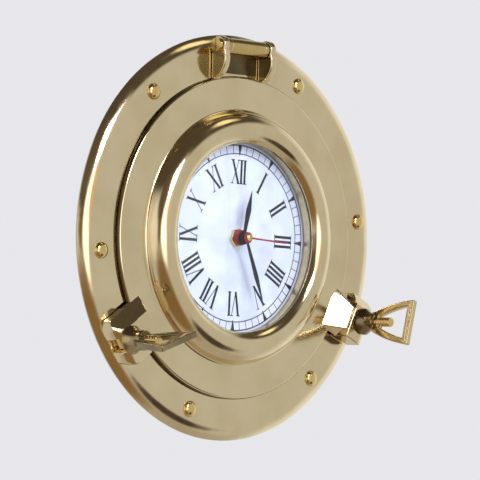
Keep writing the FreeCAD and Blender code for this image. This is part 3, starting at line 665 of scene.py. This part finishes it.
def make_nut(side, angle):
    """A dog nut: flared foot, waist and collar, with its loop."""
    bore, flare = 2.86, NUT_LEVEL + 1.2       # the flare starts above the foot's short wall
    hub = lathe([(bore, NUT_LEVEL), (7.4, NUT_LEVEL), (7.8, NUT_LEVEL + 0.4), (7.8, flare)]
                + curve((7.8, flare), (5.0, 25.0), -14.0, 10)
                + [(5.0, 25.0), (5.5, 25.5), (5.6, 27.6), (5.2, 28.2), (bore, 28.2)], 64)
    x, y, z = turn_by(angle)(DOG_RADIUS, 0, 0)
    turns = turn_by(LOOP_TURN[side]), shift_by(x, y, z)
    piece("nut_hub_" + side, "nut_" + side, "aged_brass", [moved(hub, *turns)],
          hides=("dog_nut_" + side,))
    piece("nut_loop_" + side, "nut_" + side, LOOP_FINISH[side], [moved(loop_frame(), *turns)])


def make_bolt(side, angle):
    """A swing bolt: an eye about its pin and a shank with a cut thread."""
    bore, half = 1.64, 3.9
    eye = lathe([(bore, -half), (3.4, -half), (3.7, -3.6), (3.7, 3.6), (3.4, half), (bore, half)], 48)
    eye = moved(eye, on_edge, shift_by(DOG_RADIUS, 0, PIN_LEVEL))
    shank = thread(radius=2.8, depth=0.34, pitch=1.25, low=PIN_LEVEL + 2.4, high=38.8)
    shank = moved(shank, shift_by(DOG_RADIUS, 0, 0))
    shells = [moved(shell, turn_by(angle)) for shell in (eye, shank)]
    piece("threaded_bolt_" + side, "bolt_" + side, "bright_brass", shells,
          hides=("swing_bolt_" + side,), smooth_below=50)


# ---- camera, light and floor -----------------------------------------------------------

AZIMUTH = math.radians(44.65)     # the camera stands to the object's left
ELEVATION = math.radians(-1.68)
ROLL = math.radians(1.145)
AIM = (8.8, -0.9, 0)              # the point that the camera looks at, in dial mm
DISTANCE = 1437.3                 # from that point, mm
FOCAL = 188.94


def make_camera():
    """The photograph's view: from the left and slightly below, with a long lens."""
    back = Vector((-math.sin(AZIMUTH) * math.cos(ELEVATION),
                   -math.cos(AZIMUTH) * math.cos(ELEVATION), math.sin(ELEVATION)))
    level = Vector((math.cos(AZIMUTH), -math.sin(AZIMUTH), 0))
    above = back.cross(level)
    right = level * math.cos(ROLL) + above * math.sin(ROLL)
    up = back.cross(right)
    data = bpy.data.cameras.new("camera")
    data.lens = FOCAL
    data.sensor_width = 36.0
    data.clip_start, data.clip_end = 0.05, 30
    camera = bpy.data.objects.new("camera", data)
    bpy.context.scene.collection.objects.link(camera)
    turn = Matrix((right, up, back)).transposed().to_4x4()
    camera.matrix_world = Matrix.Translation(at(*AIM) + back * DISTANCE * MM) @ turn
    bpy.context.scene.camera = camera


# The room that the brass mirrors, as soft patches painted over a plain wall: a direction from
# the object, the half angles in degrees where the patch is full and where it ends, a colour.
WALL_TONE = (0.58, 0.56, 0.52)
BACKDROP_TONE = (0.80, 0.80, 0.83)                            # behind the clock, for the camera
ROOM = [
    ((0, 0, 1), 50, 62, (0.085, 0.065, 0.045)),               # dark ceiling
    ((0, 0, -1), 34, 54, (0.46, 0.41, 0.34)),                 # wooden floor
    ((-0.94, -0.20, 0.06), 12, 28, (0.95, 0.86, 0.80)),       # bright wall to the left
    ((0.84, 0.22, 0.50), 12, 22, (0.10, 0.08, 0.06)),         # dark shelf on the right
    ((-0.45, -0.58, -0.70), 22, 42, (0.26, 0.16, 0.07)),      # the floor's near side, lit warm
    ((1, 0.25, 0), 22, 48, (0.86, 0.85, 0.82)),               # pale wall beside the clock
    ((-0.72, -0.69, 0.04), 5, 11, (0.20, 0.17, 0.09)),        # open doorway
    ((-0.62, -0.66, 0.44), 14, 24, (0.12, 0.09, 0.06)),       # dark curtain over the doorway
    ((0.42, -0.71, -0.56), 9, 17, (0.07, 0.05, 0.04)),        # chair in front
    ((-0.32, -0.94, 0.06), 11, 20, (1.9, 1.85, 1.8)),         # window
    ((-0.02, -0.98, 0.16), 4, 9, (0.92, 0.52, 0.28)),         # curtain beside the window
    ((0.45, -0.35, 0.82), 5, 11, (1.3, 1.15, 0.75)),          # ceiling lamp
]


def make_world():
    """A soft room for the reflections, and a plain pale backdrop for the camera."""
    world = bpy.data.worlds.new("world")
    bpy.context.scene.world = world
    world.use_nodes = True
    nodes, links = world.node_tree.nodes, world.node_tree.links
    place = nodes.new("ShaderNodeTexCoord")
    colour = None
    for direction, full, end, tone in ROOM:
        toward = nodes.new("ShaderNodeVectorMath")
        toward.operation = "DOT_PRODUCT"
        toward.inputs[1].default_value = Vector(direction).normalized()
        links.new(place.outputs["Generated"], toward.inputs[0])
        share = nodes.new("ShaderNodeMapRange")
        share.interpolation_type = "SMOOTHSTEP"
        share.inputs["From Min"].default_value = math.cos(math.radians(end))
        share.inputs["From Max"].default_value = math.cos(math.radians(full))
        links.new(toward.outputs["Value"], share.inputs["Value"])
        mix = nodes.new("ShaderNodeMix")
        mix.data_type = "RGBA"
        mix.inputs["A"].default_value = (*WALL_TONE, 1)
        mix.inputs["B"].default_value = (*tone, 1)
        links.new(share.outputs["Result"], mix.inputs["Factor"])
        if colour:
            links.new(colour, mix.inputs["A"])
        colour = mix.outputs["Result"]
    path = nodes.new("ShaderNodeLightPath")
    seen = nodes.new("ShaderNodeMix")
    seen.data_type = "RGBA"
    seen.inputs["B"].default_value = (*BACKDROP_TONE, 1)
    links.new(path.outputs["Is Camera Ray"], seen.inputs["Factor"])
    links.new(colour, seen.inputs["A"])
    links.new(seen.outputs["Result"], nodes["Background"].inputs["Color"])


def area_light(name, position, target, size, power, colour, mirrored):
    """A soft square light at one point of the row frame, in metres, aimed at another."""
    data = bpy.data.lights.new(name, "AREA")
    data.energy = power
    data.size = size
    data.color = colour
    lamp = bpy.data.objects.new(name, data)
    lamp.location = position
    lamp.visible_glossy = mirrored
    lamp.rotation_euler = (Vector(target) - Vector(position)).to_track_quat("-Z", "Y").to_euler()
    bpy.context.scene.collection.objects.link(lamp)


FLOOR_TONE = (0.86, 0.85, 0.83)
FLOOR_GLOW = 0.3         # light of its own, so that it stays pale


def make_floor():
    """A plain pale floor, well below the clock."""
    mesh = bpy.data.meshes.new("floor")
    reach, low = 1.5, -0.6
    mesh.from_pydata([(-reach, -reach, low), (reach, -reach, low), (reach, reach, low),
                      (-reach, reach, low)], [], [(0, 1, 2, 3)])
    pale = plain("floor", FLOOR_TONE, 0.8, 8.0)
    shader = pale.node_tree.nodes["Principled BSDF"]
    shader.inputs["Emission Color"].default_value = (*FLOOR_TONE, 1)
    shader.inputs["Emission Strength"].default_value = FLOOR_GLOW
    mesh.materials.append(pale)
    floor = bpy.data.objects.new("floor", mesh)
    floor.visible_glossy = False
    bpy.context.scene.collection.objects.link(floor)


for entry in frame["record"]["subparts"]:
    node = NODES[entry["node"]]
    node.data.materials.clear()
    node.data.materials.append(MATERIALS[entry["material_slot"]])

print_dial()
make_glass()
make_centre()
make_rivets()
make_barrel()
make_door()
for side, angle in DOG_ANGLES.items():
    make_nut(side, angle)
    make_bolt(side, angle)
make_camera()
make_world()
make_floor()
area_light("window", position=(-0.40, -1.84, 0.98), target=(0, 0, -0.06), size=0.6, power=11.5,
           colour=(1.0, 0.98, 0.96), mirrored=True)
area_light("fill", position=(0.6, -2.0, 0.5), target=(0, 0, -0.06), size=1.6, power=15,
           colour=(0.93, 0.96, 1.0), mirrored=False)

bpy.context.scene.view_settings.view_transform = "Standard"
